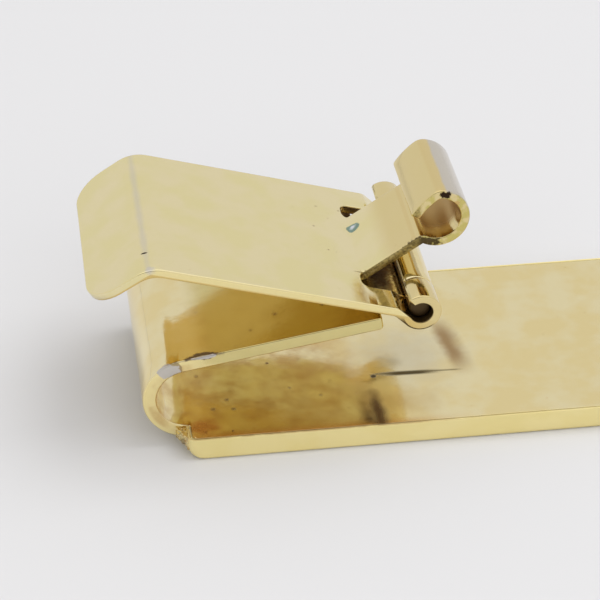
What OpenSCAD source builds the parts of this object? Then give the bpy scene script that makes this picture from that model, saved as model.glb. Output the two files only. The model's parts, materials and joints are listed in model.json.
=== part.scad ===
// Hinged cam money clip. A flat base carries a U-shaped spring strip, and the free end of
// the strip is hinged to a stamped lever whose rolled nose presses the notes on the base.
// The lever is drawn swung open, lying over the spring leaf.
// +X runs along the base away from the bend, +Z up, origin at the middle of the underside.

/* [Base] */
// Length of the base
base_l = 50.8; // [48:0.2:54]
// Width of the base
base_w = 22.2; // [21.4:0.1:24]
// Thickness of the base, shell and strip together
base_t = 2.04; // [1.94:0.02:2.2]
// Thickness of the shell's side walls
rim_t = 0.25; // [0.2:0.05:0.4]
// Plan radius of the base's corners
corner_r = 0.6; // [0.5:0.1:1.2]
// Radius under the base's two ends
end_r = 1.2; // [1:0.1:1.4]

/* [Spring strip] */
// Thickness of the spring strip
strip_t = 1.12; // [1:0.02:1.2]
// Width of the bend, the leaf and the lever
strip_w = 18.1; // [17:0.1:18.6]
// Inside radius of the U-bend
bend_r = 2.67; // [2.5:0.01:2.8]
// Slope of the leaf
leaf_rise = 9.5; // [9:0.1:10]
// Distance from the base's end to the leaf's shoulders
shoulder_x = 16; // [15.6:0.1:16.2]

/* [Hinge] */
// Distance from the base's end to the hinge's centre
hinge_x = 19.08; // [19:0.02:19.2]
// Height of the hinge's centre
hinge_z = 11.33; // [11.3:0.01:11.4]
// Outer radius of the hinge's knuckles
knuckle_r = 1.62; // [1.56:0.02:1.66]
// Radius of the hinge pin
pin_r = 0.85; // [0.8:0.01:0.88]
// Radial clearance of the pin in the lever's ears
pin_gap = 0.05; // [0.03:0.01:0.08]

/* [Lever] */
// Thickness of the lever's sheet
sheet_t = 0.75; // [0.65:0.05:0.8]
// Downward slope of the lever's plate towards the hinge
plate_fall = 15.8; // [15.6:0.1:16]
// Downward slope of the thumb tab
tab_fall = 32.5; // [30:0.5:34]
// Length of the thumb tab along its slope
tab_l = 5.8; // [5:0.1:6.2]
// Slope of the tongue that carries the roll
tongue_rise = 33.5; // [33:0.1:34]
// Width of the tongue and the roll
roll_w = 8.54; // [8:0.02:8.8]
// Outer radius of the rolled nose
roll_r = 2.57; // [2.4:0.01:2.6]

/* [Hidden] */
$fn = 96;

gold = [0.87, 0.77, 0.53];
pale_gold = [0.91, 0.82, 0.6];
dull_gold = [0.66, 0.54, 0.33];
step_angle = 5;              // angle between the points of an arc in an outline
long = 200;                  // longer than any part of the clip

side_r = 0.3;                // radius under the base's long sides
left = -base_l / 2;          // the base's end under the bend
shell_t = base_t - strip_t;  // the shell's floor
foot_gap = 0.36;             // from the base's ends to the strip's foot, where the bend begins
bend_c = [left + foot_gap, base_t + bend_r];
bend_out = bend_r + strip_t;
hinge = [left + hinge_x, hinge_z];
bore_r = pin_r + pin_gap;
pin_l = strip_w - 1.4;
knuckle_w = 12.1;            // the leaf's own knuckle, between the lever's ears
slot_w = 2.03;
ear_y = roll_w / 2 + slot_w; // inner face of an ear
slot_root = left + 15.1;     // where the slots beside the tongue begin
plate_top = 16.35;           // height of the plate's upper face at plate_x
plate_x = left + 1.41;
fold_x = left - 2.5;         // the fold between the plate and the thumb tab
fold_r = 3;
roll_c = [left + 21.15, 17.08];
roll_start = 226;            // the roll's sheet leaves the tongue here
roll_top = 444;              // bends down more tightly here, after a turn over the top
roll_flat = 486;             // then runs nearly straight
roll_end = 508;              // to its free edge
tight_r = 0.75;              // radius of the tighter bend, at the sheet's middle
flat_r = 6;                  // radius of the nearly straight end, at the sheet's middle
roll_mid = roll_r - sheet_t / 2;
ear_start = 225;             // an ear's curl starts below the pin and ends past its top
ear_end = 492;

function dir(a) = [cos(a), sin(a)];
function arc(c, r, a0, a1) =
    let (n = ceil(abs(a1 - a0) / step_angle))
    [for (i = [0 : n]) c + r * dir(a0 + (a1 - a0) * i / n)];
function plate_z(x) = plate_top - (x - plate_x) * tan(plate_fall);
function on_plate(x) = [x, plate_z(x)];

leaf_dir = dir(leaf_rise);
leaf_up = dir(leaf_rise + 90);
leaf_start = bend_c + bend_out * leaf_up;
function leaf_top(x) = leaf_start + (x - leaf_start.x) / leaf_dir.x * leaf_dir;

plate_up = dir(90 - plate_fall);
tab_up = dir(90 + tab_fall);
fold = on_plate(fold_x);
bisect = (plate_fall + tab_fall) / 2;
fold_back = fold_r * tan(bisect);          // from the fold's corner to its arc, along a face
fold_c = fold - fold_r / cos(bisect) * dir(90 + (tab_fall - plate_fall) / 2);
tab_end = fold - tab_l * dir(tab_fall);
tongue_dir = dir(tongue_rise);
tongue_up = dir(tongue_rise + 90);

// Extrudes an outline drawn in X and Z along Y, from y0 to y1
module along_y(y0, y1)
    rotate([90, 0, 0])
        translate([0, 0, -y1])
            linear_extrude(height = y1 - y0) children();

// A rolled sheet: part of a ring round the point c, from angle a0 to a1
module curl(c, r_in, r_out, a0, a1, y0, y1)
    translate([c.x, 0, c.y])
        rotate([90, 0, 0])
            rotate_extrude(angle = a1 - a0, start = a0)
                translate([r_in, -y1]) square([r_out - r_in, y1 - y0]);

module bar_y(c, r, w)
    translate([c.x, 0, c.y])
        rotate([90, 0, 0])
            cylinder(r = r, h = w, center = true);

module both_sides() {
    children();
    mirror([0, 1, 0]) children();
}

// Rectangle of length l and width w round the origin, with its four corners rounded
module rounded(l, w, r)
    polygon(concat(
        arc([l / 2 - r, w / 2 - r], r, 0, 90), arc([r - l / 2, w / 2 - r], r, 90, 180),
        arc([r - l / 2, r - w / 2], r, 180, 270), arc([l / 2 - r, r - w / 2], r, 270, 360)));

// Outline of a plate standing on z = 0, w long, with both lower corners rounded
module bullnosed(w, r)
    polygon(concat(
        [[w / 2, base_t], [-w / 2, base_t]],
        arc([r - w / 2, r], r, 180, 270), arc([w / 2 - r, r], r, 270, 360)));

// The strip's wide foot with its neck, seen from above
module foot_plan() {
    foot_l = base_l - 2 * foot_gap;
    rounded(foot_l, base_w - 2 * rim_t, corner_r - rim_t / 2);
    translate([bend_c.x, -strip_w / 2]) square([3, strip_w]);
}

// Stamped tray that shows as the clip's outer face, with a gap in its end for the strip
module face_shell() color(pale_gold)
    difference() {
        intersection() {
            along_y(-long, long) bullnosed(base_l, end_r);
            rotate([0, 0, 90]) along_y(-long, long) bullnosed(base_w, side_r);
            linear_extrude(height = base_t) rounded(base_l, base_w, corner_r);
        }
        translate([0, 0, shell_t]) linear_extrude(height = base_t) foot_plan();
        translate([left - 1, -strip_w / 2, shell_t]) cube([3, strip_w, base_t]);
    }

// Lower leg of the spring strip, lying in the shell
module spring_foot() color(gold)
    translate([0, 0, shell_t]) linear_extrude(height = strip_t) foot_plan();

// U-bend of the spring strip
module spring_bend() color(gold)
    curl(bend_c, bend_r, bend_out, leaf_rise + 90, 270, -strip_w / 2, strip_w / 2);

// Upper leg of the spring strip, ending in the knuckle that grips the pin
module spring_arm() color(gold) {
    end = left + shoulder_x;
    neck_end = hinge.x - pin_r;
    difference() {
        union() {
            along_y(-strip_w / 2, strip_w / 2)
                polygon([leaf_start, leaf_start - strip_t * leaf_up,
                         leaf_top(end) - strip_t * leaf_up, leaf_top(end)]);
            along_y(-knuckle_w / 2, knuckle_w / 2)
                polygon([leaf_top(end - 1), leaf_top(end - 1) - strip_t * leaf_up,
                         leaf_top(neck_end) - strip_t * leaf_up, leaf_top(neck_end)]);
            bar_y(hinge, knuckle_r, knuckle_w);
        }
        bar_y(hinge, pin_r, strip_w);
    }
}

module hinge_pin() color(dull_gold) bar_y(hinge, pin_r, pin_l);

// Plate and thumb tab in profile, from the tab's free edge to the slots' roots
module plate_profile()
    polygon(concat(
        [tab_end],
        arc(fold_c, fold_r, 90 + tab_fall, 90 - plate_fall),
        [on_plate(slot_root), on_plate(slot_root) - sheet_t * plate_up],
        arc(fold_c, fold_r - sheet_t, 90 - plate_fall, 90 + tab_fall),
        [tab_end - sheet_t * tab_up]));

// Plate and tab from above: straight beside the plate, narrower and rounded at the tab
module plate_plan() {
    half = strip_w / 2;
    half_tab = half - 0.1;
    tip = tab_end.x;
    r = 2.8;
    polygon(concat(
        [[slot_root, -half], [slot_root, half], [fold.x, half]],
        arc([tip + r, half_tab - r], r, 95, 180),
        arc([tip + r, r - half_tab], r, 180, 265),
        [[fold.x, -half]]));
}

// One ear: the sheet dips under the pin and curls round it
module ear() {
    bend_x = left + 17.1;
    along_y(ear_y, strip_w / 2)
        polygon([on_plate(slot_root - 0.5), on_plate(bend_x), hinge + bore_r * dir(ear_start),
                 hinge + knuckle_r * dir(ear_start), on_plate(bend_x - 0.35) - sheet_t * plate_up,
                 on_plate(slot_root - 0.5) - sheet_t * plate_up]);
    curl(hinge, bore_r, knuckle_r, ear_start - step_angle, ear_end, ear_y, strip_w / 2);
}

// One bend of the rolled tongue, with its radius at the sheet's middle
module turn(c, r, a0, a1)
    curl(c, r - sheet_t / 2, r + sheet_t / 2, a0, a1, -roll_w / 2, roll_w / 2);

// The tongue turns up between the slots and its end is rolled into the clip's nose
module tongue() {
    corner = on_plate(slot_root);
    low = corner - sheet_t * plate_up;
    reach = 5.7;
    along_y(-roll_w / 2, roll_w / 2)
        polygon([corner, on_plate(slot_root - 0.5), on_plate(slot_root - 0.5) - sheet_t * plate_up,
                 low, corner - sheet_t * tongue_up + 0.35 * tongue_dir,
                 corner - sheet_t * tongue_up + reach * tongue_dir,
                 corner + reach * tongue_dir]);
    tight_c = roll_c + (roll_mid - tight_r) * dir(roll_top);
    flat_c = tight_c + (tight_r - flat_r) * dir(roll_flat);
    turn(roll_c, roll_mid, roll_start, roll_top);
    turn(tight_c, tight_r, roll_top - 1, roll_flat);
    turn(flat_c, flat_r, roll_flat - 0.3, roll_end);
}

// The whole lever is one stamping
module lever() color(gold)
    union() {
        intersection() {
            along_y(-strip_w / 2, strip_w / 2) plate_profile();
            linear_extrude(height = long) plate_plan();
        }
        both_sides() ear();
        tongue();
    }

// Brazing metal in the corner at each side of the strip's neck
module braze_beads() color(dull_gold)
    both_sides()
        translate([0, 0, shell_t + 0.2])
            linear_extrude(height = strip_t - 0.2)
                polygon([[left, strip_w / 2], [left, base_w / 2 - corner_r],
                         [left - 0.8, strip_w / 2]]);

face_shell();
spring_foot();
spring_bend();
spring_arm();
hinge_pin();
lever();
braze_beads();
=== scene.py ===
"""A hinged cam money clip in pale polished gold plate, lying on its base with its lever swung open."""
import json
import math

import bmesh
import bpy
from mathutils import Matrix, Vector, noise

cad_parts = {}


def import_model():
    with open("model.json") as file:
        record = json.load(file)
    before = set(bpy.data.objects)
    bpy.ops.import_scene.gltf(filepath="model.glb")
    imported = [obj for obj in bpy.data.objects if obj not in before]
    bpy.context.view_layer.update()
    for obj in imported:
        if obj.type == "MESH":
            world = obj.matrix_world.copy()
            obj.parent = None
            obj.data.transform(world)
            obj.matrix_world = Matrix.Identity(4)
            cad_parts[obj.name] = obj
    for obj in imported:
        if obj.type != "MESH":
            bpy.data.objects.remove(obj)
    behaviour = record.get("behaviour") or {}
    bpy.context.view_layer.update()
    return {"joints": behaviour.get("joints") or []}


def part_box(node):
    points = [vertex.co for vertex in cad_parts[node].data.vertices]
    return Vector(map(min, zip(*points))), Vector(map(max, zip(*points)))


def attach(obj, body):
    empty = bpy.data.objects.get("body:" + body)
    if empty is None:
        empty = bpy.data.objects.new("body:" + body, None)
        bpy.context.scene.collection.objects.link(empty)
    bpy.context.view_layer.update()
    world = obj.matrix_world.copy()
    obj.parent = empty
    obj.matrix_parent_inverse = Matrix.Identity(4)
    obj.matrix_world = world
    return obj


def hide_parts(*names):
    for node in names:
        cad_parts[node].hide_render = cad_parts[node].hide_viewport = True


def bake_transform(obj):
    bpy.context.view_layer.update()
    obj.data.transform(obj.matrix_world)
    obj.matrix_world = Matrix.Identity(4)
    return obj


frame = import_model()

MM = 0.001


# ---- Places, in millimetres, taken from the frame ----

def box_mm(node):
    low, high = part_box(node)
    return [c / MM for c in low], [c / MM for c in high]


def joint_mm(name):
    joint = next(j for j in frame["joints"] if j["name"] == name)
    return [c / MM for c in joint["pos_m"]]


SHELL_LOW, SHELL_HIGH = box_mm("face_shell")
FOOT_LOW, FOOT_HIGH = box_mm("spring_foot")
PIN_LOW, PIN_HIGH = box_mm("hinge_pin")
LEFT = SHELL_LOW[0]                       # the base's end under the bend
BASE_L = SHELL_HIGH[0] - SHELL_LOW[0]
BASE_W = SHELL_HIGH[1] - SHELL_LOW[1]
BASE_T = SHELL_HIGH[2]
SHELL_T = FOOT_LOW[2]                     # the shell's floor
FOOT_GAP = SHELL_HIGH[0] - FOOT_HIGH[0]
FOOT_HALF = FOOT_HIGH[1]
STRIP_T = FOOT_HIGH[2] - FOOT_LOW[2]
HALF = box_mm("spring_bend")[1][1]        # half the width of the strip and the lever
BEND = Vector((joint_mm("leaf_flex")[0], joint_mm("leaf_flex")[2]))
HINGE = Vector((joint_mm("lever_hinge")[0], joint_mm("lever_hinge")[2]))
PIN_R = (PIN_HIGH[2] - PIN_LOW[2]) / 2
PIN_HALF = PIN_HIGH[1]

# ---- Sizes of the sheet parts, in millimetres and degrees, as the design has them ----

BEND_R = BEND.y - BASE_T + STRIP_T / 2    # middle of the strip's thickness
LEAF_RISE = 9.5
SHOULDER_X = LEFT + 16.0
KNUCKLE_HALF = 6.05
KNUCKLE_T = 0.7
KNUCKLE_TURN = 268                        # how far the leaf's end is wrapped round the pin
SHEET_T = 0.75
PLATE_FALL = 15.8
PLATE_POINT = Vector((LEFT + 1.41, 16.35))
TAB_FALL = 32.5
TAB_L = 5.8
FOLD_X = LEFT - 2.5
FOLD_R = 3.0
TONGUE_RISE = 33.5
ROLL_HALF = 4.27
ROLL_R = 2.57
ROLL = Vector((LEFT + 21.15, 17.08))
ROLL_TOP = 444                            # where the roll turns down more tightly
ROLL_TIGHT = (0.75, 44)                   # the radius and the turn of that bend
ROLL_FREE_END = (6.3, 22.5)               # and of the nearly straight end after it
SLOT_W = 2.03
SLOT_ROOT_X = LEFT + 15.1
EAR_R = 1.62
EAR_BORE = PIN_R + 0.05
EAR_TURN = 267                            # how far an ear is wrapped round the pin
DIP = 45                                  # slope of the leaf and the ears, down to the pin
EDGE = 0.14                               # rounding of the sheet's cut edges
CRISP_EDGE = 0.04                         # of the shell and the strip's foot, where they meet
Y_CUTS = (-7.3, -5.1, -3.4, -1.7, 0, 1.7, 3.4, 5.1, 7.3)    # cuts along a blank, so that it shades evenly

ALONG, ACROSS, UP = (1, 0, 0), (0, 1, 0), (0, 0, 1)


def heading(angle):
    return Vector((math.cos(math.radians(angle)), math.sin(math.radians(angle))))


def meet(p, angle_p, q, angle_q):
    """Where the line through p meets the line through q."""
    u, v, d = heading(angle_p), heading(angle_q), q - p
    return p + u * (d.x * v.y - d.y * v.x) / (u.x * v.y - u.y * v.x)


# ---- Bent sheet ----

class Path:
    """The middle line of a bent sheet in the XZ plane: straight stretches and arcs, one after another."""

    def __init__(self, start, angle):
        self.stretches, self.length = [], 0.0
        self.point, self.angle = start, angle

    def line(self, length):
        self._add(length, 0.0)
        return self

    def arc(self, radius, turn):
        """A turn in degrees, to the left where it is positive."""
        length = radius * math.radians(abs(turn))
        self._add(length, math.copysign(1 / radius, turn))
        return self

    def _add(self, length, bend):
        self.stretches.append((self.length, length, self.point, self.angle, bend))
        self.length += length
        self.point, self.angle = self._along(self.stretches[-1], length)

    @staticmethod
    def _along(stretch, d):
        _, _, p, angle, bend = stretch
        if not bend:
            return p + heading(angle) * d, angle
        a, b = math.radians(angle), math.radians(angle) + bend * d
        step = Vector(((math.sin(b) - math.sin(a)) / bend, (math.cos(a) - math.cos(b)) / bend))
        return p + step, math.degrees(b)

    def at(self, s):
        """The point at s along the path, and the direction to its left."""
        stretch = next((x for x in self.stretches if s <= x[0] + x[1]), self.stretches[-1])
        point, angle = self._along(stretch, s - stretch[0])
        return point, heading(angle + 90)

    def steps(self, turn=5.0, flat=2.0):
        """Places to cut a blank, so that its bends come out round."""
        cuts = []
        for start, length, _, _, bend in self.stretches:
            n = max(1, math.ceil(math.degrees(abs(bend) * length) / turn), math.ceil(length / flat))
            cuts += [start + length * i / n for i in range(n + 1)]
        return cuts


def corner(centre, radius, start, end, n=6):
    """Points of a rounded corner in a blank's outline."""
    return [(centre[0] + radius * heading(start + (end - start) * i / n).x,
             centre[1] + radius * heading(start + (end - start) * i / n).y) for i in range(n + 1)]


def mirrored(outline):
    """The half outline, from y above 0, followed by its mirror image."""
    return outline + [(s, -y) for s, y in reversed(outline)]


def bent_sheet(name, outline, s_cuts, place, crisp_until=-1.0):
    """A blank with this outline in (s, y), cut up, thickened and bent by place(s, y, side).

    Its edges are rounded, and less so where s is below crisp_until.
    """
    bm = bmesh.new()
    bm.faces.new([bm.verts.new((s, y, 0)) for s, y in outline])
    for axis, cuts in ((ALONG, s_cuts), (ACROSS, Y_CUTS)):
        for c in sorted(set(round(c, 4) for c in cuts)):
            everything = bm.verts[:] + bm.edges[:] + bm.faces[:]
            bmesh.ops.bisect_plane(bm, geom=everything, dist=1e-4, plane_no=axis,
                                   plane_co=[c * a for a in axis])
    low_faces = bm.faces[:]
    rim = [e for e in bm.edges if len(e.link_faces) == 1]
    copy = bmesh.ops.duplicate(bm, geom=bm.verts[:] + bm.edges[:] + low_faces)["vert_map"]
    for e in rim:
        a, b = e.verts
        bm.faces.new((a, b, copy[b], copy[a]))
    for face in low_faces:
        for v in face.verts:
            v.co.z = -1
    for v in bm.verts:
        v.co.z = 0.5 if v.co.z == 0 else -0.5
    bmesh.ops.recalc_face_normals(bm, faces=bm.faces)
    for from_s, to_s, offset in ((-1.0, crisp_until, CRISP_EDGE), (crisp_until, 1000.0, EDGE)):
        sharp = [e for e in bm.edges if len(e.link_faces) == 2 and e.calc_face_angle() > 1.0
                 and abs(e.verts[0].co.z - e.verts[1].co.z) < 0.1
                 and from_s <= (e.verts[0].co.x + e.verts[1].co.x) / 2 < to_s]
        if sharp:
            bmesh.ops.bevel(bm, geom=sharp, offset=offset, offset_type="OFFSET", segments=3,
                            profile=0.5, affect="EDGES", clamp_overlap=False)
    for v in bm.verts:
        s, y, side = v.co
        x, z = place(s, y, side)
        v.co = Vector((x, y, z)) * MM
    return finish_mesh(name, bm)


def finish_mesh(name, bm):
    bmesh.ops.recalc_face_normals(bm, faces=bm.faces)
    mesh = bpy.data.meshes.new(name)
    bm.to_mesh(mesh)
    bm.free()
    for polygon in mesh.polygons:
        polygon.use_smooth = True
    obj = bpy.data.objects.new(name, mesh)
    bpy.context.scene.collection.objects.link(obj)
    weighted = obj.modifiers.new("even_shading", "WEIGHTED_NORMAL")
    weighted.keep_sharp = True
    weighted.weight = 100
    return obj


# ---- The spring strip: one piece of metal from the base round the bend to the knuckle ----

def spring_strip():
    mid_z = SHELL_T + STRIP_T / 2
    foot_end = FOOT_HIGH[0]
    knuckle_mid = PIN_R + KNUCKLE_T / 2
    under_pin = HINGE + knuckle_mid * heading(270 - DIP)
    path = Path(Vector((foot_end, mid_z)), 180)
    path.line(foot_end - BEND.x)
    foot_s = foot_end - LEFT - FOOT_GAP
    path.arc(BEND_R, LEAF_RISE - 180)
    leaf_s, leaf_start = path.length, path.point
    dip = meet(leaf_start, LEAF_RISE, under_pin, -DIP)
    dip_r = 0.5
    dip_back = dip_r * math.tan(math.radians((DIP + LEAF_RISE) / 2))
    path.line((dip - leaf_start).length - dip_back)
    path.arc(dip_r, -DIP - LEAF_RISE)
    path.line((under_pin - dip).length - dip_back)
    path.arc(knuckle_mid, KNUCKLE_TURN)
    shoulder_s = leaf_s + (SHOULDER_X - leaf_start.x) / heading(LEAF_RISE).x
    thin_s = shoulder_s + 1.3

    r = 0.45
    outline = corner((r, FOOT_HALF - r), r, 180, 90)
    outline += corner((foot_s - r, FOOT_HALF - r), r, 90, 0)
    outline += corner((foot_s + 0.15, HALF + 0.15), 0.15, 180, 270, 3)
    outline += corner((shoulder_s - 0.35, HALF - 0.35), 0.35, 90, 0, 5)
    outline += corner((shoulder_s + 0.3, KNUCKLE_HALF + 0.3), 0.3, 180, 270, 4)
    outline += corner((path.length - 0.25, KNUCKLE_HALF - 0.25), 0.25, 90, 0, 4)

    def place(s, y, side):
        thin = min(1, max(0, (s - shoulder_s + 0.6) / (thin_s - shoulder_s + 0.6)))
        thickness = STRIP_T + (KNUCKLE_T - STRIP_T) * (thin * thin * (3 - 2 * thin))
        point, normal = path.at(s)
        point = point + normal * side * thickness
        return point.x, point.y

    strip = bent_sheet("spring_strip", mirrored(outline), path.steps(4.0, 2.5), place, foot_s - 0.2)
    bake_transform(strip)
    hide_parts("spring_foot", "spring_bend", "spring_arm")
    return strip


# ---- The lever: one stamping, with the tab, the plate, two ears and the rolled tongue ----

def lever():
    half_t = SHEET_T / 2
    slot_root = PLATE_POINT + heading(-PLATE_FALL) * (SLOT_ROOT_X - PLATE_POINT.x) / heading(PLATE_FALL).x
    fold_top = slot_root - heading(-PLATE_FALL) * (SLOT_ROOT_X - FOLD_X) / heading(PLATE_FALL).x
    half_turn = (PLATE_FALL + TAB_FALL) / 2
    fold = fold_top - half_t / heading(half_turn).x * heading(90 + TAB_FALL - half_turn)
    fold_mid = FOLD_R - half_t
    fold_back = fold_mid * math.tan(math.radians(half_turn))
    tab_mid = TAB_L - half_t * math.tan(math.radians(half_turn)) - 0.01

    def common():
        path = Path(fold - tab_mid * heading(TAB_FALL), TAB_FALL)
        path.line(tab_mid - fold_back)
        path.arc(fold_mid, -PLATE_FALL - TAB_FALL)
        return path

    # The tongue turns up at the slots' roots, turns down again in a tight crease and is rolled
    tongue = common()
    fold_s = tongue.length
    tongue_mid = slot_root - half_t * heading(90 + TONGUE_RISE)
    rise = meet(tongue.point, -PLATE_FALL, tongue_mid, TONGUE_RISE)
    rise_r = 0.8
    rise_back = rise_r * math.tan(math.radians((PLATE_FALL + TONGUE_RISE) / 2))
    tongue.line((rise - tongue.point).length - rise_back)
    root_s = tongue.length - 0.1
    tongue.arc(rise_r, PLATE_FALL + TONGUE_RISE)
    roll_mid = ROLL_R - half_t
    crease_r = 0.43
    along, up = heading(TONGUE_RISE), heading(TONGUE_RISE + 90)
    to_roll = ROLL - tongue.point
    reach, offset = to_roll.dot(along), to_roll.dot(up)
    back = math.sqrt((roll_mid + crease_r) ** 2 - (offset + crease_r) ** 2)
    crease_centre = tongue.point + along * (reach - back) - up * crease_r
    meets_roll = math.degrees(math.atan2(crease_centre.y - ROLL.y, crease_centre.x - ROLL.x)) % 360
    tongue.line(reach - back)
    tongue.arc(crease_r, meets_roll - 270 - TONGUE_RISE)
    tongue.arc(roll_mid, ROLL_TOP - meets_roll)
    tongue.arc(*ROLL_TIGHT)
    tongue.arc(*ROLL_FREE_END)

    # Each ear dips below the pin and curls round it
    ear = common()
    ear_mid = (EAR_R + EAR_BORE) / 2
    ear_t = EAR_R - EAR_BORE
    under_pin = HINGE + ear_mid * heading(270 - DIP)
    dip = meet(ear.point, -PLATE_FALL, under_pin, -DIP)
    dip_r = 0.9
    dip_back = dip_r * math.tan(math.radians((DIP - PLATE_FALL) / 2))
    ear.line((dip - ear.point).length - dip_back)
    ear.arc(dip_r, PLATE_FALL - DIP)
    ear.line((under_pin - dip).length - dip_back)
    ear.arc(ear_mid, EAR_TURN)

    ear_y = ROLL_HALF + SLOT_W
    tab_half = HALF - 0.1
    r, slot_r, small = 2.8, 0.7, 0.22
    ear_start_s = ear.length - 7.2
    outline = corner((r, tab_half - r), r, 185, 95, 10)
    outline += [(fold_s - 0.6, HALF)]
    outline += corner((ear.length - small, HALF - small), small, 90, 0, 4)
    outline += corner((ear.length - small, ear_y + small), small, 0, -90, 4)
    outline += corner((root_s + slot_r, ear_y - slot_r), slot_r, 90, 180, 6)
    outline += corner((root_s + slot_r, ROLL_HALF + slot_r), slot_r, 180, 270, 6)
    outline += corner((tongue.length - small, ROLL_HALF - small), small, 90, 0, 4)

    def place(s, y, side):
        path = ear if abs(y) > (ROLL_HALF + ear_y) / 2 else tongue
        thickness = ear_t if path is ear and s > ear_start_s else SHEET_T
        point, normal = path.at(s)
        point = point + normal * side * thickness
        return point.x, point.y

    cuts = tongue.steps(4.0, 2.5) + [s for s in ear.steps(6.0, 2.5) if s > root_s]
    piece = bent_sheet("cam_lever", mirrored(outline), cuts, place)
    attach(piece, "lever")
    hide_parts("lever")
    return piece


# ---- The face shell: a shallow tray ----

def rounded_loop(length, width, r, n=8):
    """A rectangle with round corners, as (x, y) points in order."""
    loop = []
    for sx, sy, start in ((1, 1, 0), (-1, 1, 90), (-1, -1, 180), (1, -1, 270)):
        centre = (sx * (length / 2 - r), sy * (width / 2 - r))
        loop += corner(centre, r, start, start + 90, n)
    return loop


def loft(bm, loops):
    """Skins closed loops of (x, y, z) in millimetres, all of equal length, and closes both ends."""
    rings = [[bm.verts.new(Vector(p) * MM) for p in loop] for loop in loops]
    for low, high in zip(rings, rings[1:]):
        for i in range(len(low)):
            j = (i + 1) % len(low)
            bm.faces.new((low[i], low[j], high[j], high[i]))
    bm.faces.new(reversed(rings[0]))
    bm.faces.new(rings[-1])


def face_shell():
    end_r, side_r, plan_r = 1.2, 0.3, 0.6
    wall = SHELL_HIGH[1] - FOOT_HALF

    def level(z, extra=0.0):
        inset_x = end_r - math.sqrt(max(0, end_r ** 2 - max(0, end_r - z) ** 2)) + extra
        inset_y = side_r - math.sqrt(max(0, side_r ** 2 - max(0, side_r - z) ** 2)) + extra
        loop = rounded_loop(BASE_L - 2 * inset_x, BASE_W - 2 * inset_y, max(0.3, plan_r - extra))
        return [(x, y, z) for x, y in loop]

    heights = [end_r * (1 - math.cos(math.radians(a))) for a in range(0, 91, 6)]
    heights = sorted(set(heights + [side_r * (1 - math.cos(math.radians(a))) for a in range(10, 91, 10)]))
    loops = [level(z) for z in heights]
    for a in range(0, 91, 15):
        turn = math.radians(a)
        loops.append(level(BASE_T - CRISP_EDGE * (1 - math.sin(turn)), CRISP_EDGE * (1 - math.cos(turn))))
    inner = rounded_loop(BASE_L - 2 * FOOT_GAP, 2 * FOOT_HALF, plan_r - wall)
    loops.append([(x, y, BASE_T - 0.03) for x, y in inner])
    loops.append([(x, y, SHELL_T - 0.01) for x, y in inner])
    bm = bmesh.new()
    loft(bm, loops)
    shell = finish_mesh("face_tray", bm)
    cut_gap(shell, (LEFT - 1, -HALF - 0.03, SHELL_T - 0.01), (LEFT + 1.2, HALF + 0.03, BASE_T + 1))
    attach(shell, "base")
    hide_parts("face_shell")
    return shell


def cut_gap(obj, low, high):
    """Cuts the box between two corners, in millimetres, out of obj."""
    bm = bmesh.new()
    size = Vector(high) - Vector(low)
    centre = (Vector(high) + Vector(low)) / 2
    box = Matrix.Translation(centre * MM) @ Matrix.Diagonal((*size * MM, 1))
    bmesh.ops.create_cube(bm, size=1, matrix=box)
    mesh = bpy.data.meshes.new("gap")
    bm.to_mesh(mesh)
    bm.free()
    tool = bpy.data.objects.new("gap", mesh)
    bpy.context.scene.collection.objects.link(tool)
    cut = obj.modifiers.new("gap", "BOOLEAN")
    cut.object, cut.operation, cut.solver = tool, "DIFFERENCE", "EXACT"
    obj.modifiers.move(obj.modifiers.find("gap"), 0)
    bpy.context.view_layer.update()
    weighted = obj.modifiers["even_shading"]
    weighted.show_viewport = False
    new = bpy.data.meshes.new_from_object(obj.evaluated_get(bpy.context.evaluated_depsgraph_get()))
    weighted.show_viewport = True
    obj.modifiers.remove(cut)
    obj.data = new
    obj.data.name = obj.name
    bpy.data.objects.remove(tool)
    bpy.data.meshes.remove(mesh)


# ---- The hinge pin, turned, with slightly domed ends ----

def hinge_pin():
    radius, rim, dome, sides = PIN_R - 0.01, 0.14, 0.05, 48
    profile = [(radius, 0.0)]
    profile += [(radius - rim + rim * heading(a).x, PIN_HALF - dome - rim + rim * heading(a).y)
                for a in range(0, 76, 15)]
    profile += [((radius - rim) * f, PIN_HALF - dome * f * f) for f in (0.75, 0.5, 0.25)]
    bm = bmesh.new()
    rings = []
    for sign, points in ((-1, profile[::-1]), (1, profile[1:])):
        for r, y in points:
            rings.append([(HINGE.x + r * heading(360 * i / sides).x, sign * y,
                           HINGE.y + r * heading(360 * i / sides).y) for i in range(sides)])
    loft(bm, rings)
    pin = finish_mesh("pivot_pin", bm)
    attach(pin, "leaf")
    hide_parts("hinge_pin")
    return pin


# ---- Brazing metal, rough, in the corner each side of the strip's neck ----

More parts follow.
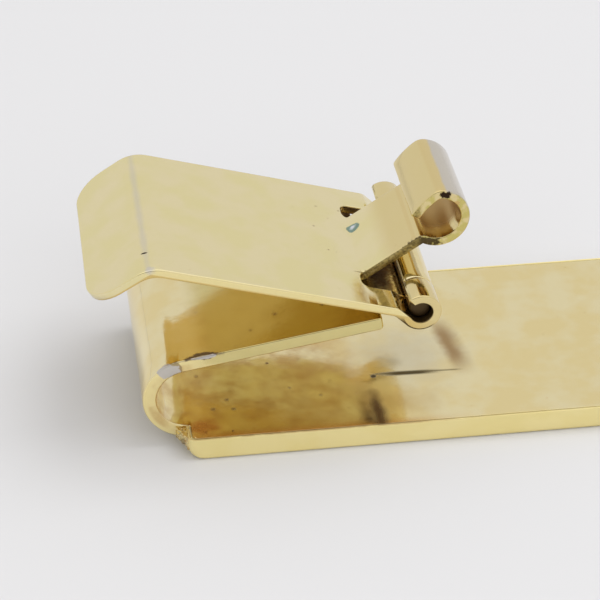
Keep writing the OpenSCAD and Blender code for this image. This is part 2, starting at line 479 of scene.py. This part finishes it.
def braze_beads():
    bm = bmesh.new()
    low_z, high_z = SHELL_T + 0.02, BASE_T - 0.01
    for side in (-1, 1):
        plan = [(LEFT + 0.25, HALF - 0.12), (LEFT + 0.25, SHELL_HIGH[1] - 0.35),
                (LEFT + 0.02, SHELL_HIGH[1] - 0.3), (LEFT - 0.85, HALF - 0.12)]
        ring = [[bm.verts.new((x, side * y, z)) for x, y in plan] for z in (low_z, high_z)]
        for i in range(4):
            j = (i + 1) % 4
            bm.faces.new((ring[0][i], ring[0][j], ring[1][j], ring[1][i]))
        bm.faces.new(ring[0])
        bm.faces.new(ring[1])
    bmesh.ops.recalc_face_normals(bm, faces=bm.faces)
    bmesh.ops.subdivide_edges(bm, edges=bm.edges[:], cuts=11, use_grid_fill=True)
    bmesh.ops.triangulate(bm, faces=bm.faces[:])
    noise.seed_set(1)                     # otherwise the noise starts from the clock
    for v in bm.verts:
        outward = min(1, max(0, (LEFT + 0.1 - v.co.x) / 0.2))
        rough = noise.noise_vector(v.co * 3.1) * 0.16 + noise.noise_vector(v.co * 9.0) * 0.08
        v.co += rough * outward
        v.co.z = min(v.co.z, BASE_T + 0.02)
    for v in bm.verts:
        v.co *= MM
    beads = finish_mesh("braze", bm)
    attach(beads, "base")
    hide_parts("braze_beads")
    return beads


STRIP, LEVER, SHELL, PIN, BEADS = spring_strip(), lever(), face_shell(), hinge_pin(), braze_beads()


# ---- Materials: polished gold plate, worked out from each point's place in millimetres ----

GOLD = (0.86, 0.755, 0.455)
DEEP_GOLD = (0.84, 0.70, 0.36)
CUT_GOLD = (0.93, 0.79, 0.38)
NICKEL = (0.62, 0.59, 0.55)
TARNISH = (0.50, 0.27, 0.075)
DIRT = (0.045, 0.028, 0.016)
RUST = (0.62, 0.30, 0.06)
OLIVE_GOLD = (0.68, 0.58, 0.25)
VERDIGRIS = (0.17, 0.30, 0.27)


class Shader:
    """Builds one gold material: a colour, a roughness and a height, changed layer by layer."""

    def __init__(self, name):
        self.material = bpy.data.materials.new(name)
        self.material.use_nodes = True
        self.nodes = self.material.node_tree.nodes
        self.links = self.material.node_tree.links
        self.bsdf = self.nodes["Principled BSDF"]
        self.bsdf.inputs["Metallic"].default_value = 1
        coordinates = self.nodes.new("ShaderNodeTexCoord")
        self.place = self.vector("MULTIPLY", coordinates.outputs["Object"], (1 / MM, 1 / MM, 1 / MM))

    def plug(self, socket, value):
        if isinstance(value, bpy.types.NodeSocket):
            self.links.new(value, socket)
        elif isinstance(value, (tuple, list)) and socket.type == "RGBA":
            socket.default_value = (*value, 1)
        else:
            socket.default_value = value

    def vector(self, operation, a, b):
        node = self.nodes.new("ShaderNodeVectorMath")
        node.operation = operation
        self.plug(node.inputs[0], a)
        self.plug(node.inputs[1], b)
        return node.outputs["Value" if operation in ("LENGTH", "DOT_PRODUCT") else "Vector"]

    def math(self, operation, a, b=0.0):
        node = self.nodes.new("ShaderNodeMath")
        node.operation = operation
        self.plug(node.inputs[0], a)
        self.plug(node.inputs[1], b)
        return node.outputs[0]

    def ramp(self, value, low, high, to_low=0.0, to_high=1.0):
        node = self.nodes.new("ShaderNodeMapRange")
        node.interpolation_type = "SMOOTHSTEP"
        for key, v in (("Value", value), ("From Min", low), ("From Max", high),
                       ("To Min", to_low), ("To Max", to_high)):
            self.plug(node.inputs[key], v)
        return node.outputs[0]

    def noise(self, scale, detail=2.0, stretch=(1, 1, 1), shift=(0, 0, 0), roughness=0.5):
        """Noise of about `scale` waves to the millimetre, from 0 to 1."""
        node = self.nodes.new("ShaderNodeTexNoise")
        moved = self.vector("ADD", self.place, shift)
        self.plug(node.inputs["Vector"], self.vector("MULTIPLY", moved, stretch))
        node.inputs["Scale"].default_value = scale
        node.inputs["Detail"].default_value = detail
        node.inputs["Roughness"].default_value = roughness
        return node.outputs[0]

    def specks(self, scale, size, share, shift=(0, 0, 0)):
        """Small spots, `scale` cells to the millimetre, with a spot in a share of them."""
        node = self.nodes.new("ShaderNodeTexVoronoi")
        self.plug(node.inputs["Vector"], self.vector("ADD", self.place, shift))
        node.inputs["Scale"].default_value = scale
        chance = self.nodes.new("ShaderNodeSeparateColor")
        self.links.new(node.outputs["Color"], chance.inputs[0])
        chosen = self.ramp(chance.outputs[0], 1 - share, 1.001 - share)
        width = self.math("MULTIPLY", chance.outputs[1], size)
        beyond = self.ramp(node.outputs["Distance"], 0.0, self.math("ADD", width, 0.02))
        near = self.math("SUBTRACT", 1.0, beyond)
        return self.math("MULTIPLY", near, chosen)

    def spot(self, centre, radii, soft=0.5, ragged=0.0, scale=2.0):
        """1 inside an ellipsoid, falling to 0 at its surface, with a ragged edge if asked."""
        off = self.vector("DIVIDE", self.vector("SUBTRACT", self.place, tuple(centre)), tuple(radii))
        distance = self.vector("LENGTH", off, (0, 0, 0))
        if ragged:
            wave = self.math("MULTIPLY", self.math("SUBTRACT", self.noise(scale, 4.0), 0.5), ragged * 2)
            distance = self.math("ADD", distance, wave)
        return self.ramp(distance, 1 - soft, 1.0, 1.0, 0.0)

    def along(self, direction):
        """How far the place lies along a direction."""
        return self.vector("DOT_PRODUCT", self.place, tuple(direction))

    def band(self, direction, low, high, soft):
        """1 where the place along a direction lies between low and high."""
        along = self.along(direction)
        rise = self.ramp(along, low - soft, low + soft)
        return self.math("MULTIPLY", rise, self.ramp(along, high - soft, high + soft, 1.0, 0.0))

    def all(self, *masks):
        result = masks[0]
        for mask in masks[1:]:
            result = self.math("MULTIPLY", result, mask)
        return result

    def mix(self, factor, a, b):
        node = self.nodes.new("ShaderNodeMix")
        node.data_type = "RGBA"
        self.plug(node.inputs["Factor"], factor)
        self.plug(node.inputs[6], a)
        self.plug(node.inputs[7], b)
        return node.outputs[2]

    def start(self, colour_a, colour_b, roughness, wave=1.0):
        """Polished plate: soft clouds of tone, a rippled polish, hazy smears, hair scratches and pits."""
        cloud = self.ramp(self.noise(0.32, 3.0), 0.35, 0.65)
        self.colour = self.mix(cloud, colour_a, colour_b)
        smear = self.ramp(self.noise(0.9, 4.0, stretch=(0.5, 1, 1), shift=(3, 7, 1)), 0.35, 0.8)
        self.rough = self.math("ADD", roughness, self.math("MULTIPLY", smear, 0.1))
        ripple = self.math("MULTIPLY", self.noise(0.22, 1.0, shift=(11, 5, 2)), 0.05 * wave)
        fine = self.math("MULTIPLY", self.noise(1.3, 2.0, shift=(1, 9, 4)), 0.004 * wave)
        self.height = self.math("ADD", ripple, fine)
        for stretch, shift in (((1.2, 16, 16), (2, 0, 5)), ((14, 1.5, 9), (8, 3, 1))):
            hair = self.ramp(self.noise(1.0, 3.0, stretch=stretch, shift=shift), 0.66, 0.74)
            self.height = self.math("SUBTRACT", self.height, self.math("MULTIPLY", hair, 0.0006))
            self.rough = self.math("ADD", self.rough, self.math("MULTIPLY", hair, 0.08))
        pits = self.specks(1.1, 0.1, 0.22)
        self.layer(pits, TARNISH, 0.4, depth=0.01, strength=0.75)

    def layer(self, mask, colour, roughness, depth=0.0, strength=1.0):
        """Paints colour and roughness where mask is 1, and sinks the surface by depth there."""
        mask = self.math("MULTIPLY", mask, strength)
        self.colour = self.mix(mask, self.colour, colour)
        keep = self.math("MULTIPLY", self.rough, self.math("SUBTRACT", 1.0, mask))
        self.rough = self.math("ADD", keep, self.math("MULTIPLY", mask, roughness))
        if depth:
            self.height = self.math("SUBTRACT", self.height, self.math("MULTIPLY", mask, depth))

    def done(self, piece):
        bump = self.nodes.new("ShaderNodeBump")
        bump.inputs["Distance"].default_value = MM
        self.plug(bump.inputs["Height"], self.height)
        self.plug(self.bsdf.inputs["Base Color"], self.colour)
        self.plug(self.bsdf.inputs["Roughness"], self.rough)
        self.plug(self.bsdf.inputs["Normal"], bump.outputs[0])
        piece.data.materials.clear()
        piece.data.materials.append(self.material)


def cut_front(m):
    """1 on the sheet's cut face along the front."""
    return m.band(ACROSS, -HALF - 0.1, -HALF + 0.03, 0.03)


def cut_back(m):
    """1 on the sheet's cut face along the back."""
    return m.band(ACROSS, HALF - 0.03, HALF + 0.1, 0.03)


def tarnish_inside(m, front):
    """Tarnish inside the bend and on the base below the leaf, thinning out towards the open end."""
    blotch = m.ramp(m.noise(0.5, 5.0, shift=(4, 4, 4)), 0.38, 0.72)
    from_bend = m.vector("MULTIPLY", m.vector("SUBTRACT", m.place, (BEND.x, 0, BEND.y)), (1, 0, 1))
    bend_radius = m.vector("LENGTH", from_bend, (0, 0, 0))
    within = m.ramp(bend_radius, BEND_R, BEND_R + STRIP_T * 0.3, 1.0, 0.0)
    within = m.math("MAXIMUM", within, m.band(ALONG, LEFT + 1.5, LEFT + 30, 1.0))
    m.layer(m.all(m.band(ALONG, LEFT - 9, LEFT + 14, 3.5), blotch, within), TARNISH, 0.22, strength=0.5)

    covered = m.all(m.band(UP, 7.9, 12, 0.3), m.band(ALONG, LEFT + 1.6, LEFT + 17, 1.2))
    m.layer(covered, OLIVE_GOLD, 0.14, strength=0.85)
    off_edge = m.math("SUBTRACT", 1.0, front)
    leaf_specks = m.all(covered, off_edge, m.specks(0.8, 0.3, 0.35, shift=(1, 4, 2)))
    m.layer(leaf_specks, (0.2, 0.1, 0.03), 0.5, strength=0.8)

    on_foot = m.band(UP, -1, BASE_T + 0.2, 0.1)
    cloud = m.ramp(m.noise(0.35, 4.0, shift=(6, 1, 3)), 0.25, 0.6)
    towards_mouth = m.all(on_foot, m.band(ALONG, LEFT + 8, LEFT + 14.5, 2.5))
    m.layer(m.all(towards_mouth, cloud), TARNISH, 0.2, strength=0.4)
    under = m.all(on_foot, m.band(ALONG, LEFT, LEFT + 16, 3))
    foot_specks = m.all(under, m.specks(0.8, 0.32, 0.4, shift=(5, 2, 9)))
    m.layer(foot_specks, (0.16, 0.07, 0.012), 0.5, strength=0.9)

    rim = m.math("ABSOLUTE", m.along(ACROSS))
    edge = m.all(m.ramp(rim, FOOT_HALF - 0.9, FOOT_HALF + 0.1), on_foot,
                 m.band(ALONG, LEFT - 1, LEFT + 20, 5))
    m.layer(edge, RUST, 0.3, strength=0.6)
    patch = m.spot((LEFT + 1.3, -HALF - 0.4, BASE_T), (2.0, 1.5, 0.7), 0.8, 0.4, 1.5)
    m.layer(patch, (0.60, 0.25, 0.05), 0.32, strength=0.7)


def mark_base(m):
    """Where the rolled nose has pressed a dent in the base, with the dent's dark reflection painted in, and
    dragged along it; and a dark streak, a dirt dot and a haze beside that.
    """
    on_base = m.band(UP, BASE_T - 0.1, BASE_T + 0.1, 0.02)
    warm = m.spot((LEFT + 17.5, -8.0, BASE_T), (5.5, 3.4, 0.6), 1.0, 0.3, 0.6)
    m.layer(m.all(on_base, warm), (0.66, 0.50, 0.23), 0.14, strength=0.85)
    worn_film = m.spot((LEFT + 19.5, -1.5, BASE_T), (6.5, 6.5, 0.5), 0.9, 0.3, 0.5)
    m.layer(m.all(on_base, worn_film), (0.60, 0.56, 0.46), 0.16, strength=0.5)

    # The nose's dent along the base: sunk a little, with its dark reflection painted in as a brown band
    ragged = m.math("MULTIPLY", m.math("SUBTRACT", m.noise(1.2, 3.0), 0.5), 0.5)
    line_x = m.math("ADD", m.along((1, 0.108, 0)), ragged)
    press_dent_and_reflection = m.all(m.ramp(line_x, LEFT + 22.2, LEFT + 23.2),
                  m.ramp(line_x, LEFT + 23.3, LEFT + 24.9, 1.0, 0.0),
                  on_base, m.band(ACROSS, -3.6, 2.6, 1.9))
    m.layer(press_dent_and_reflection, (0.36, 0.22, 0.09), 0.28, depth=0.01, strength=0.9)

    slant = (0.03, 1, 0)
    drag = m.all(on_base, m.band(slant, -4.62, -4.1, 0.16), m.band(ALONG, LEFT + 17.2, LEFT + 21.2, 1.2))
    m.layer(drag, (0.10, 0.075, 0.03), 0.5)
    trace = m.all(on_base, m.band(slant, -4.4, -4.2, 0.08), m.band(ALONG, LEFT + 16.2, LEFT + 23.5, 0.5))
    m.layer(trace, (0.16, 0.12, 0.05), 0.45, strength=0.7)

    # A dark streak on the base, running from near the scratch's end to the front edge
    dark_streak = m.spot((LEFT + 15.8, -9.6, BASE_T), (1.0, 4.6, 0.4), 0.9, 0.35, 0.9)
    m.layer(m.all(on_base, dark_streak), (0.15, 0.085, 0.035), 0.3, strength=0.95)
    dot = m.spot((LEFT + 16.2, -4.3, BASE_T), (0.36, 0.3, 0.3), 0.6, 0.3)
    m.layer(m.all(on_base, dot), DIRT, 0.5, strength=0.9)
    haze = m.spot((LEFT + 17.9, -2.4, BASE_T), (1.6, 1.5, 0.3), 1.0, 0.4, 1.0)
    m.layer(m.all(on_base, haze), (0.26, 0.20, 0.09), 0.3, strength=0.3)


def wear_bend(m):
    """Plating worn to the nickel on the front edge of the bend, with dark scabs where it has lifted."""
    scab = m.spot((LEFT + 0.6, -HALF, 9.0), (2.5, 0.75, 0.62), 0.2, 0.55, 1.2)
    m.layer(scab, (0.13, 0.085, 0.07), 0.4, depth=0.01, strength=0.9)
    lifted = m.spot((LEFT - 1.15, -HALF, 7.6), (1.15, 0.3, 0.8), 0.15, 0.6, 1.9)
    m.layer(lifted, (0.34, 0.25, 0.14), 0.4, strength=0.8)
    worn = m.spot((LEFT - 1.3, -HALF, 7.55), (1.0, 0.4, 0.7), 0.12, 0.6, 1.9)
    for patch in (m.spot((LEFT + 1.3, -HALF - 0.1, 8.8), (1.4, 0.3, 0.36), 0.15, 0.45, 1.3),
                  m.spot((LEFT + 1.0, -HALF + 0.55, 9.35), (1.5, 0.3, 0.4), 0.2, 0.4, 1.3)):
        worn = m.math("MAXIMUM", worn, patch)
    m.layer(worn, NICKEL, 0.3, depth=0.01, strength=0.9)


def grime_and_shadow_at_knuckle(m):
    """Grime and tarnish where the leaf narrows to its knuckle, and painted shadow there under the lever's
    slots, near black in the middle and on the far side.
    """
    narrow = m.spot((LEFT + 16.9, 0, 11.2), (2.3, 8.2, 1.7), 0.5, 0.3, 0.8)
    grain = m.ramp(m.noise(3.5, 4.0, shift=(2, 6, 1)), 0.35, 0.62)
    m.layer(m.all(narrow, grain), (0.32, 0.16, 0.05), 0.42, depth=0.01, strength=0.8)
    # Painted shadow under the lever: near black across the knuckle's middle, and dark on the far side
    middle = m.spot((LEFT + 16.7, 0, 11.1), (1.6, 6.8, 1.3), 0.5, 0.3, 1.0)
    m.layer(middle, (0.06, 0.022, 0.006), 0.45, strength=0.94)
    far_side_shadow = m.spot((LEFT + 15.4, 7.4, 11.0), (1.9, 2.6, 1.0), 0.5, 0.3, 1.0)
    m.layer(far_side_shadow, (0.10, 0.045, 0.015), 0.45, strength=0.9)


def strip_material():
    m = Shader("strip_gold")
    m.start(GOLD, DEEP_GOLD, 0.07)
    front = cut_front(m)
    beyond_foot = m.band(ALONG, LEFT - 9, LEFT, 0.3)
    clear_of_foot = m.math("MAXIMUM", m.band(UP, BASE_T + 0.1, 20, 0.05), beyond_foot)
    m.layer(m.all(m.math("MAXIMUM", front, cut_back(m)), clear_of_foot), CUT_GOLD, 0.38, strength=0.85)
    tarnish_inside(m, front)
    mark_base(m)
    wear_bend(m)
    grime_and_shadow_at_knuckle(m)
    m.done(STRIP)


def mark_plate(m):
    """The plate: browner below, brown in the far slot, rubbed at the fold, chipped and pitted."""
    plate_up, tab_up = heading(90 - PLATE_FALL), heading(90 + TAB_FALL)
    fold_z = PLATE_POINT.y - (FOLD_X - PLATE_POINT.x) * math.tan(math.radians(PLATE_FALL))
    fold = Vector((FOLD_X, fold_z))
    below = []
    for up in (plate_up, tab_up):
        top = up.dot(fold)
        below.append(m.ramp(m.along((up.x, 0, up.y)), top - 0.62, top - 0.5, 1.0, 0.0))
    m.layer(m.all(*below), (0.72, 0.52, 0.18), 0.16, strength=0.9)
    top = plate_up.dot(fold)
    below_top = m.ramp(m.along((plate_up.x, 0, plate_up.y)), top - 0.12, top - 0.04, 1.0, 0.0)
    far_slot = m.spot((SLOT_ROOT_X + 0.9, 5.3, 12.0), (1.9, 1.3, 1.4), 0.3)
    m.layer(m.all(below_top, far_slot), (0.20, 0.09, 0.03), 0.45, strength=0.9)

    crest = m.spot((LEFT - 2.58, 0, 17.15), (0.42, 30, 0.6), 0.95, 0.4, 0.5)
    m.layer(crest, NICKEL, 0.24, strength=0.42)
    m.layer(m.spot((LEFT - 2.7, -6.35, 17.15), (0.32, 0.13, 0.3), 0.4, 0.4, 3.0), DIRT, 0.5, depth=0.02)
    m.layer(m.spot((LEFT - 2.4, -8.8, 17.1), (0.55, 0.5, 0.5), 0.7, 0.4), NICKEL, 0.3, strength=0.7)

    chip = m.spot((LEFT + 15.7, 2.3, 12.35), (1.15, 0.66, 0.7), 0.15, 0.25, 1.3)
    m.layer(chip, VERDIGRIS, 0.45, depth=0.02, strength=0.9)
    heart = m.spot((LEFT + 15.82, 2.38, 12.3), (0.9, 0.5, 0.6), 0.35, 0.35, 2.2)
    m.layer(heart, (0.78, 0.80, 0.86), 0.4)
    near_slots = m.spot((LEFT + 15, 0, 12.5), (7, 9, 6), 0.6)
    pits = m.all(near_slots, m.specks(1.5, 0.3, 0.3, shift=(2, 2, 2)))
    m.layer(pits, (0.26, 0.16, 0.07), 0.45, depth=0.01, strength=0.8)


def mark_roll(m):
    """The tongue and the roll: deeper gold, worn to nickel outside, painted shade inside the roll, dirty at
    the ends and crease.
    """
    m.layer(m.ramp(m.along((1, 0, 0.6)), LEFT + 24.2, LEFT + 26.5), (0.76, 0.62, 0.30), 0.12, strength=0.85)
    from_roll = m.vector("SUBTRACT", m.place, (ROLL.x, 0, ROLL.y))
    worn_way = heading(-15)
    turn_x = m.vector("DOT_PRODUCT", from_roll, (worn_way.x, 0, worn_way.y))
    radius = m.vector("LENGTH", m.vector("MULTIPLY", from_roll, (1, 0, 1)), (0, 0, 0))
    wobble = m.math("MULTIPLY", m.math("SUBTRACT", m.noise(0.8, 3.0), 0.5), 0.3)
    outer = m.all(m.ramp(radius, ROLL_R - 0.12, ROLL_R - 0.05),
                  m.ramp(radius, ROLL_R + 0.2, ROLL_R + 0.3, 1.0, 0.0))
    turned = m.math("ADD", turn_x, wobble)
    m.layer(m.all(outer, m.ramp(turned, -2.5, -1.9)), (0.74, 0.58, 0.27), 0.16, strength=0.6)
    m.layer(m.all(outer, m.ramp(turned, -0.3, 0.0)), NICKEL, 0.2, strength=0.85)
    # Painted shade inside the roll: its inner face is made darker brown
    roll_inside_shade = m.ramp(radius, ROLL_R - SHEET_T + 0.02, ROLL_R - SHEET_T + 0.08, 1.0, 0.0)
    roll_inside_shade = m.all(roll_inside_shade, m.spot((ROLL.x, 0, ROLL.y), (2.2, 6, 2.2), 0.1))
    m.layer(roll_inside_shade, (0.42, 0.25, 0.08), 0.34, strength=0.85)

    across = m.math("ABSOLUTE", m.along(ACROSS))
    ends = m.all(m.ramp(radius, ROLL_R + 0.3, ROLL_R + 0.6, 1.0, 0.0),
                 m.ramp(across, ROLL_HALF - 0.12, ROLL_HALF))
    dull = m.all(ends, m.ramp(m.noise(1.6, 4.0, shift=(7, 2, 5)), 0.4, 0.58))
    m.layer(dull, (0.58, 0.50, 0.13), 0.3, strength=0.75)
    m.layer(m.all(ends, m.specks(2.4, 0.36, 0.4, shift=(3, 1, 8))), DIRT, 0.5, strength=0.8)

    def on_end(x, z, radii, soft, ragged, scale):
        return m.spot((ROLL.x + x, -ROLL_HALF, ROLL.y + z), radii, soft, ragged, scale)

    m.layer(on_end(0.42, 2.15, (0.5, 0.3, 0.36), 0.3, 0.8, 3.2), DIRT, 0.6, depth=0.03)
    m.layer(on_end(1.4, 1.3, (0.3, 0.2, 0.3), 0.5, 0.6, 3.0), (0.7, 0.4, 0.18), 0.4, strength=0.5)
    m.layer(on_end(-1.6, 0.1, (0.5, 0.35, 0.5), 0.5, 0.6, 2.2), (0.75, 0.45, 0.18), 0.4, strength=0.6)
    crease = on_end(-1.3, -2.2, (1.8, 0.4, 0.72), 0.5, 1.0, 3.6)
    m.layer(crease, (0.06, 0.037, 0.016), 0.5, depth=0.02, strength=0.92)
    tongue_edge = m.all(m.band(ACROSS, -ROLL_HALF - 0.1, -ROLL_HALF + 0.04, 0.03),
                        m.band(ALONG, LEFT + 14.5, LEFT + 19.6, 0.3))
    m.layer(tongue_edge, (0.44, 0.34, 0.12), 0.36, strength=0.8)
    grit = m.all(tongue_edge, m.ramp(m.noise(5.5, 4.0), 0.42, 0.66))
    m.layer(grit, (0.09, 0.06, 0.025), 0.5, strength=0.6)


def ear_bore_shade_and_line(m):
    """Each ear's bore is painted near black, as shade in the hole, and its outside has a dark line below.
    """
    from_pin = m.vector("MULTIPLY", m.vector("SUBTRACT", m.place, (HINGE.x, 0, HINGE.y)), (1, 0, 1))
    from_pin_r = m.vector("LENGTH", from_pin, (0, 0, 0))
    # Painted shade: the bore is made near black
    m.layer(m.ramp(from_pin_r, EAR_BORE + 0.02, EAR_BORE + 0.1, 1.0, 0.0), (0.13, 0.085, 0.035), 0.45,
            strength=0.95)
    slope = 0.3
    hinge_along = HINGE.y + slope * HINGE.x
    outside = m.all(m.ramp(from_pin_r, EAR_R - 0.2, EAR_R - 0.12),
                    m.band((slope, 0, 1), hinge_along - 3, hinge_along - 0.9, 0.3),
                    m.band(ACROSS, -HALF - 0.1, -HALF + 0.2, 0.05),
                    m.band(ALONG, HINGE.x - 2.2, HINGE.x + 1.3, 0.2))
    m.layer(outside, (0.07, 0.045, 0.02), 0.45, strength=0.9)


def lever_material():
    m = Shader("lever_gold")
    m.start(GOLD, (0.84, 0.745, 0.395), 0.09, wave=0.8)
    m.layer(m.math("MAXIMUM", cut_front(m), cut_back(m)), CUT_GOLD, 0.36, strength=0.85)
    mark_plate(m)
    mark_roll(m)
    ear_bore_shade_and_line(m)
    m.done(LEVER)


def shell_material():
    """Part metal and part matt, as brushed cut edges look."""
    m = Shader("shell_gold")
    m.bsdf.inputs["Metallic"].default_value = 0.6
    m.start((0.86, 0.74, 0.355), (0.84, 0.715, 0.32), 0.36)
    seam = m.all(m.band(UP, BASE_T - 0.05, BASE_T + 0.1, 0.02), m.band(ALONG, LEFT - 1, LEFT + 22, 6))
    m.layer(m.all(seam, m.ramp(m.noise(0.7, 3.0), 0.35, 0.6)), (0.4, 0.22, 0.07), 0.4, strength=0.5)
    m.done(SHELL)


def pin_material():
    m = Shader("pin_gold")
    m.start((0.72, 0.58, 0.34), (0.62, 0.46, 0.24), 0.2)
    m.layer(m.ramp(m.noise(1.3, 5.0), 0.4, 0.65), TARNISH, 0.4, strength=0.6)
    across = m.math("ABSOLUTE", m.along(ACROSS))
    # Painted shade: the pin's ends, sunk in the ears' bores, are made near black
    m.layer(m.ramp(across, PIN_HALF - 0.5, PIN_HALF - 0.3), (0.085, 0.055, 0.025), 0.5, strength=0.97)
    m.done(PIN)


def braze_material():
    m = Shader("braze_gold")
    m.start((0.86, 0.72, 0.36), (0.8, 0.6, 0.26), 0.22)
    m.layer(m.ramp(m.noise(4.0, 4.0), 0.5, 0.7), (0.4, 0.2, 0.06), 0.45, strength=0.7)
    m.done(BEADS)


strip_material()
lever_material()
shell_material()
pin_material()
braze_material()


# ---- Floor, light and camera ----

def floor():
    bm = bmesh.new()
    bmesh.ops.create_grid(bm, x_segments=1, y_segments=1, size=3.0)
    mesh = bpy.data.meshes.new("floor")
    bm.to_mesh(mesh)
    bm.free()
    obj = bpy.data.objects.new("floor", mesh)
    bpy.context.scene.collection.objects.link(obj)
    material = bpy.data.materials.new("paper")
    material.use_nodes = True
    bsdf = material.node_tree.nodes["Principled BSDF"]
    bsdf.inputs["Base Color"].default_value = (0.635, 0.635, 0.645, 1)
    bsdf.inputs["Roughness"].default_value = 0.9
    obj.data.materials.append(material)


def area_light(name, place, size, watts):
    """A soft lamp aimed at the clip. It isn't mirrored in the gold, which would turn flat faces white."""
    data = bpy.data.lights.new(name, "AREA")
    data.shape = "RECTANGLE"
    data.size, data.size_y = size
    data.energy = watts
    light = bpy.data.objects.new(name, data)
    bpy.context.scene.collection.objects.link(light)
    light.location = place
    light.rotation_euler = Vector(place).to_track_quat("Z", "Y").to_euler()
    light.visible_glossy = False


def camera():
    right = Vector((0.98984, -0.14208, 0.00624))
    view = Vector((0.12161, 0.82281, -0.55516)).normalized()
    right = (right - right.dot(view) * view).normalized()
    up = right.cross(view)
    data = bpy.data.cameras.new("camera")
    data.lens, data.sensor_width = 132.71, 36
    data.clip_start, data.clip_end = 0.01, 20
    cam = bpy.data.objects.new("camera", data)
    bpy.context.scene.collection.objects.link(cam)
    place = Matrix((right, up, -view)).transposed().to_4x4()
    place.translation = Vector((-37.287, -152.116, 109.997)) * MM
    cam.matrix_world = place
    bpy.context.scene.camera = cam


def world():
    """A pale room, brightest overhead, and darker towards the photographer."""
    room = bpy.data.worlds.new("studio")
    room.use_nodes = True
    nodes, links = room.node_tree.nodes, room.node_tree.links
    coordinates = nodes.new("ShaderNodeTexCoord")

    def facing(direction, from_dot, to_dot, start, end):
        dot = nodes.new("ShaderNodeVectorMath")
        dot.operation = "DOT_PRODUCT"
        links.new(coordinates.outputs["Generated"], dot.inputs[0])
        dot.inputs[1].default_value = Vector(direction).normalized()
        shade = nodes.new("ShaderNodeMapRange")
        shade.interpolation_type = "SMOOTHSTEP"
        for key, v in (("From Min", from_dot), ("From Max", to_dot), ("To Min", start), ("To Max", end)):
            shade.inputs[key].default_value = v
        links.new(dot.outputs["Value"], shade.inputs["Value"])
        return shade.outputs[0]

    product = nodes.new("ShaderNodeMath")
    product.operation = "MULTIPLY"
    links.new(facing((0, 0, 1), 0.6, 0.95, 0.79, 1.15), product.inputs[0])
    links.new(facing((-0.12, -0.82, 0.6), 0.84, 0.95, 1.0, 0.5), product.inputs[1])
    links.new(product.outputs[0], nodes["Background"].inputs["Strength"])
    nodes["Background"].inputs["Color"].default_value = (1.0, 0.99, 0.985, 1)
    bpy.context.scene.world = room


floor()
world()
area_light("overhead", (0.38, 0.08, 0.86), (0.6, 0.6), 3.0)
area_light("front_fill", (0.0, -0.7, 0.5), (1.2, 0.5), 2.6)
camera()
bpy.context.scene.view_settings.view_transform = "Standard"
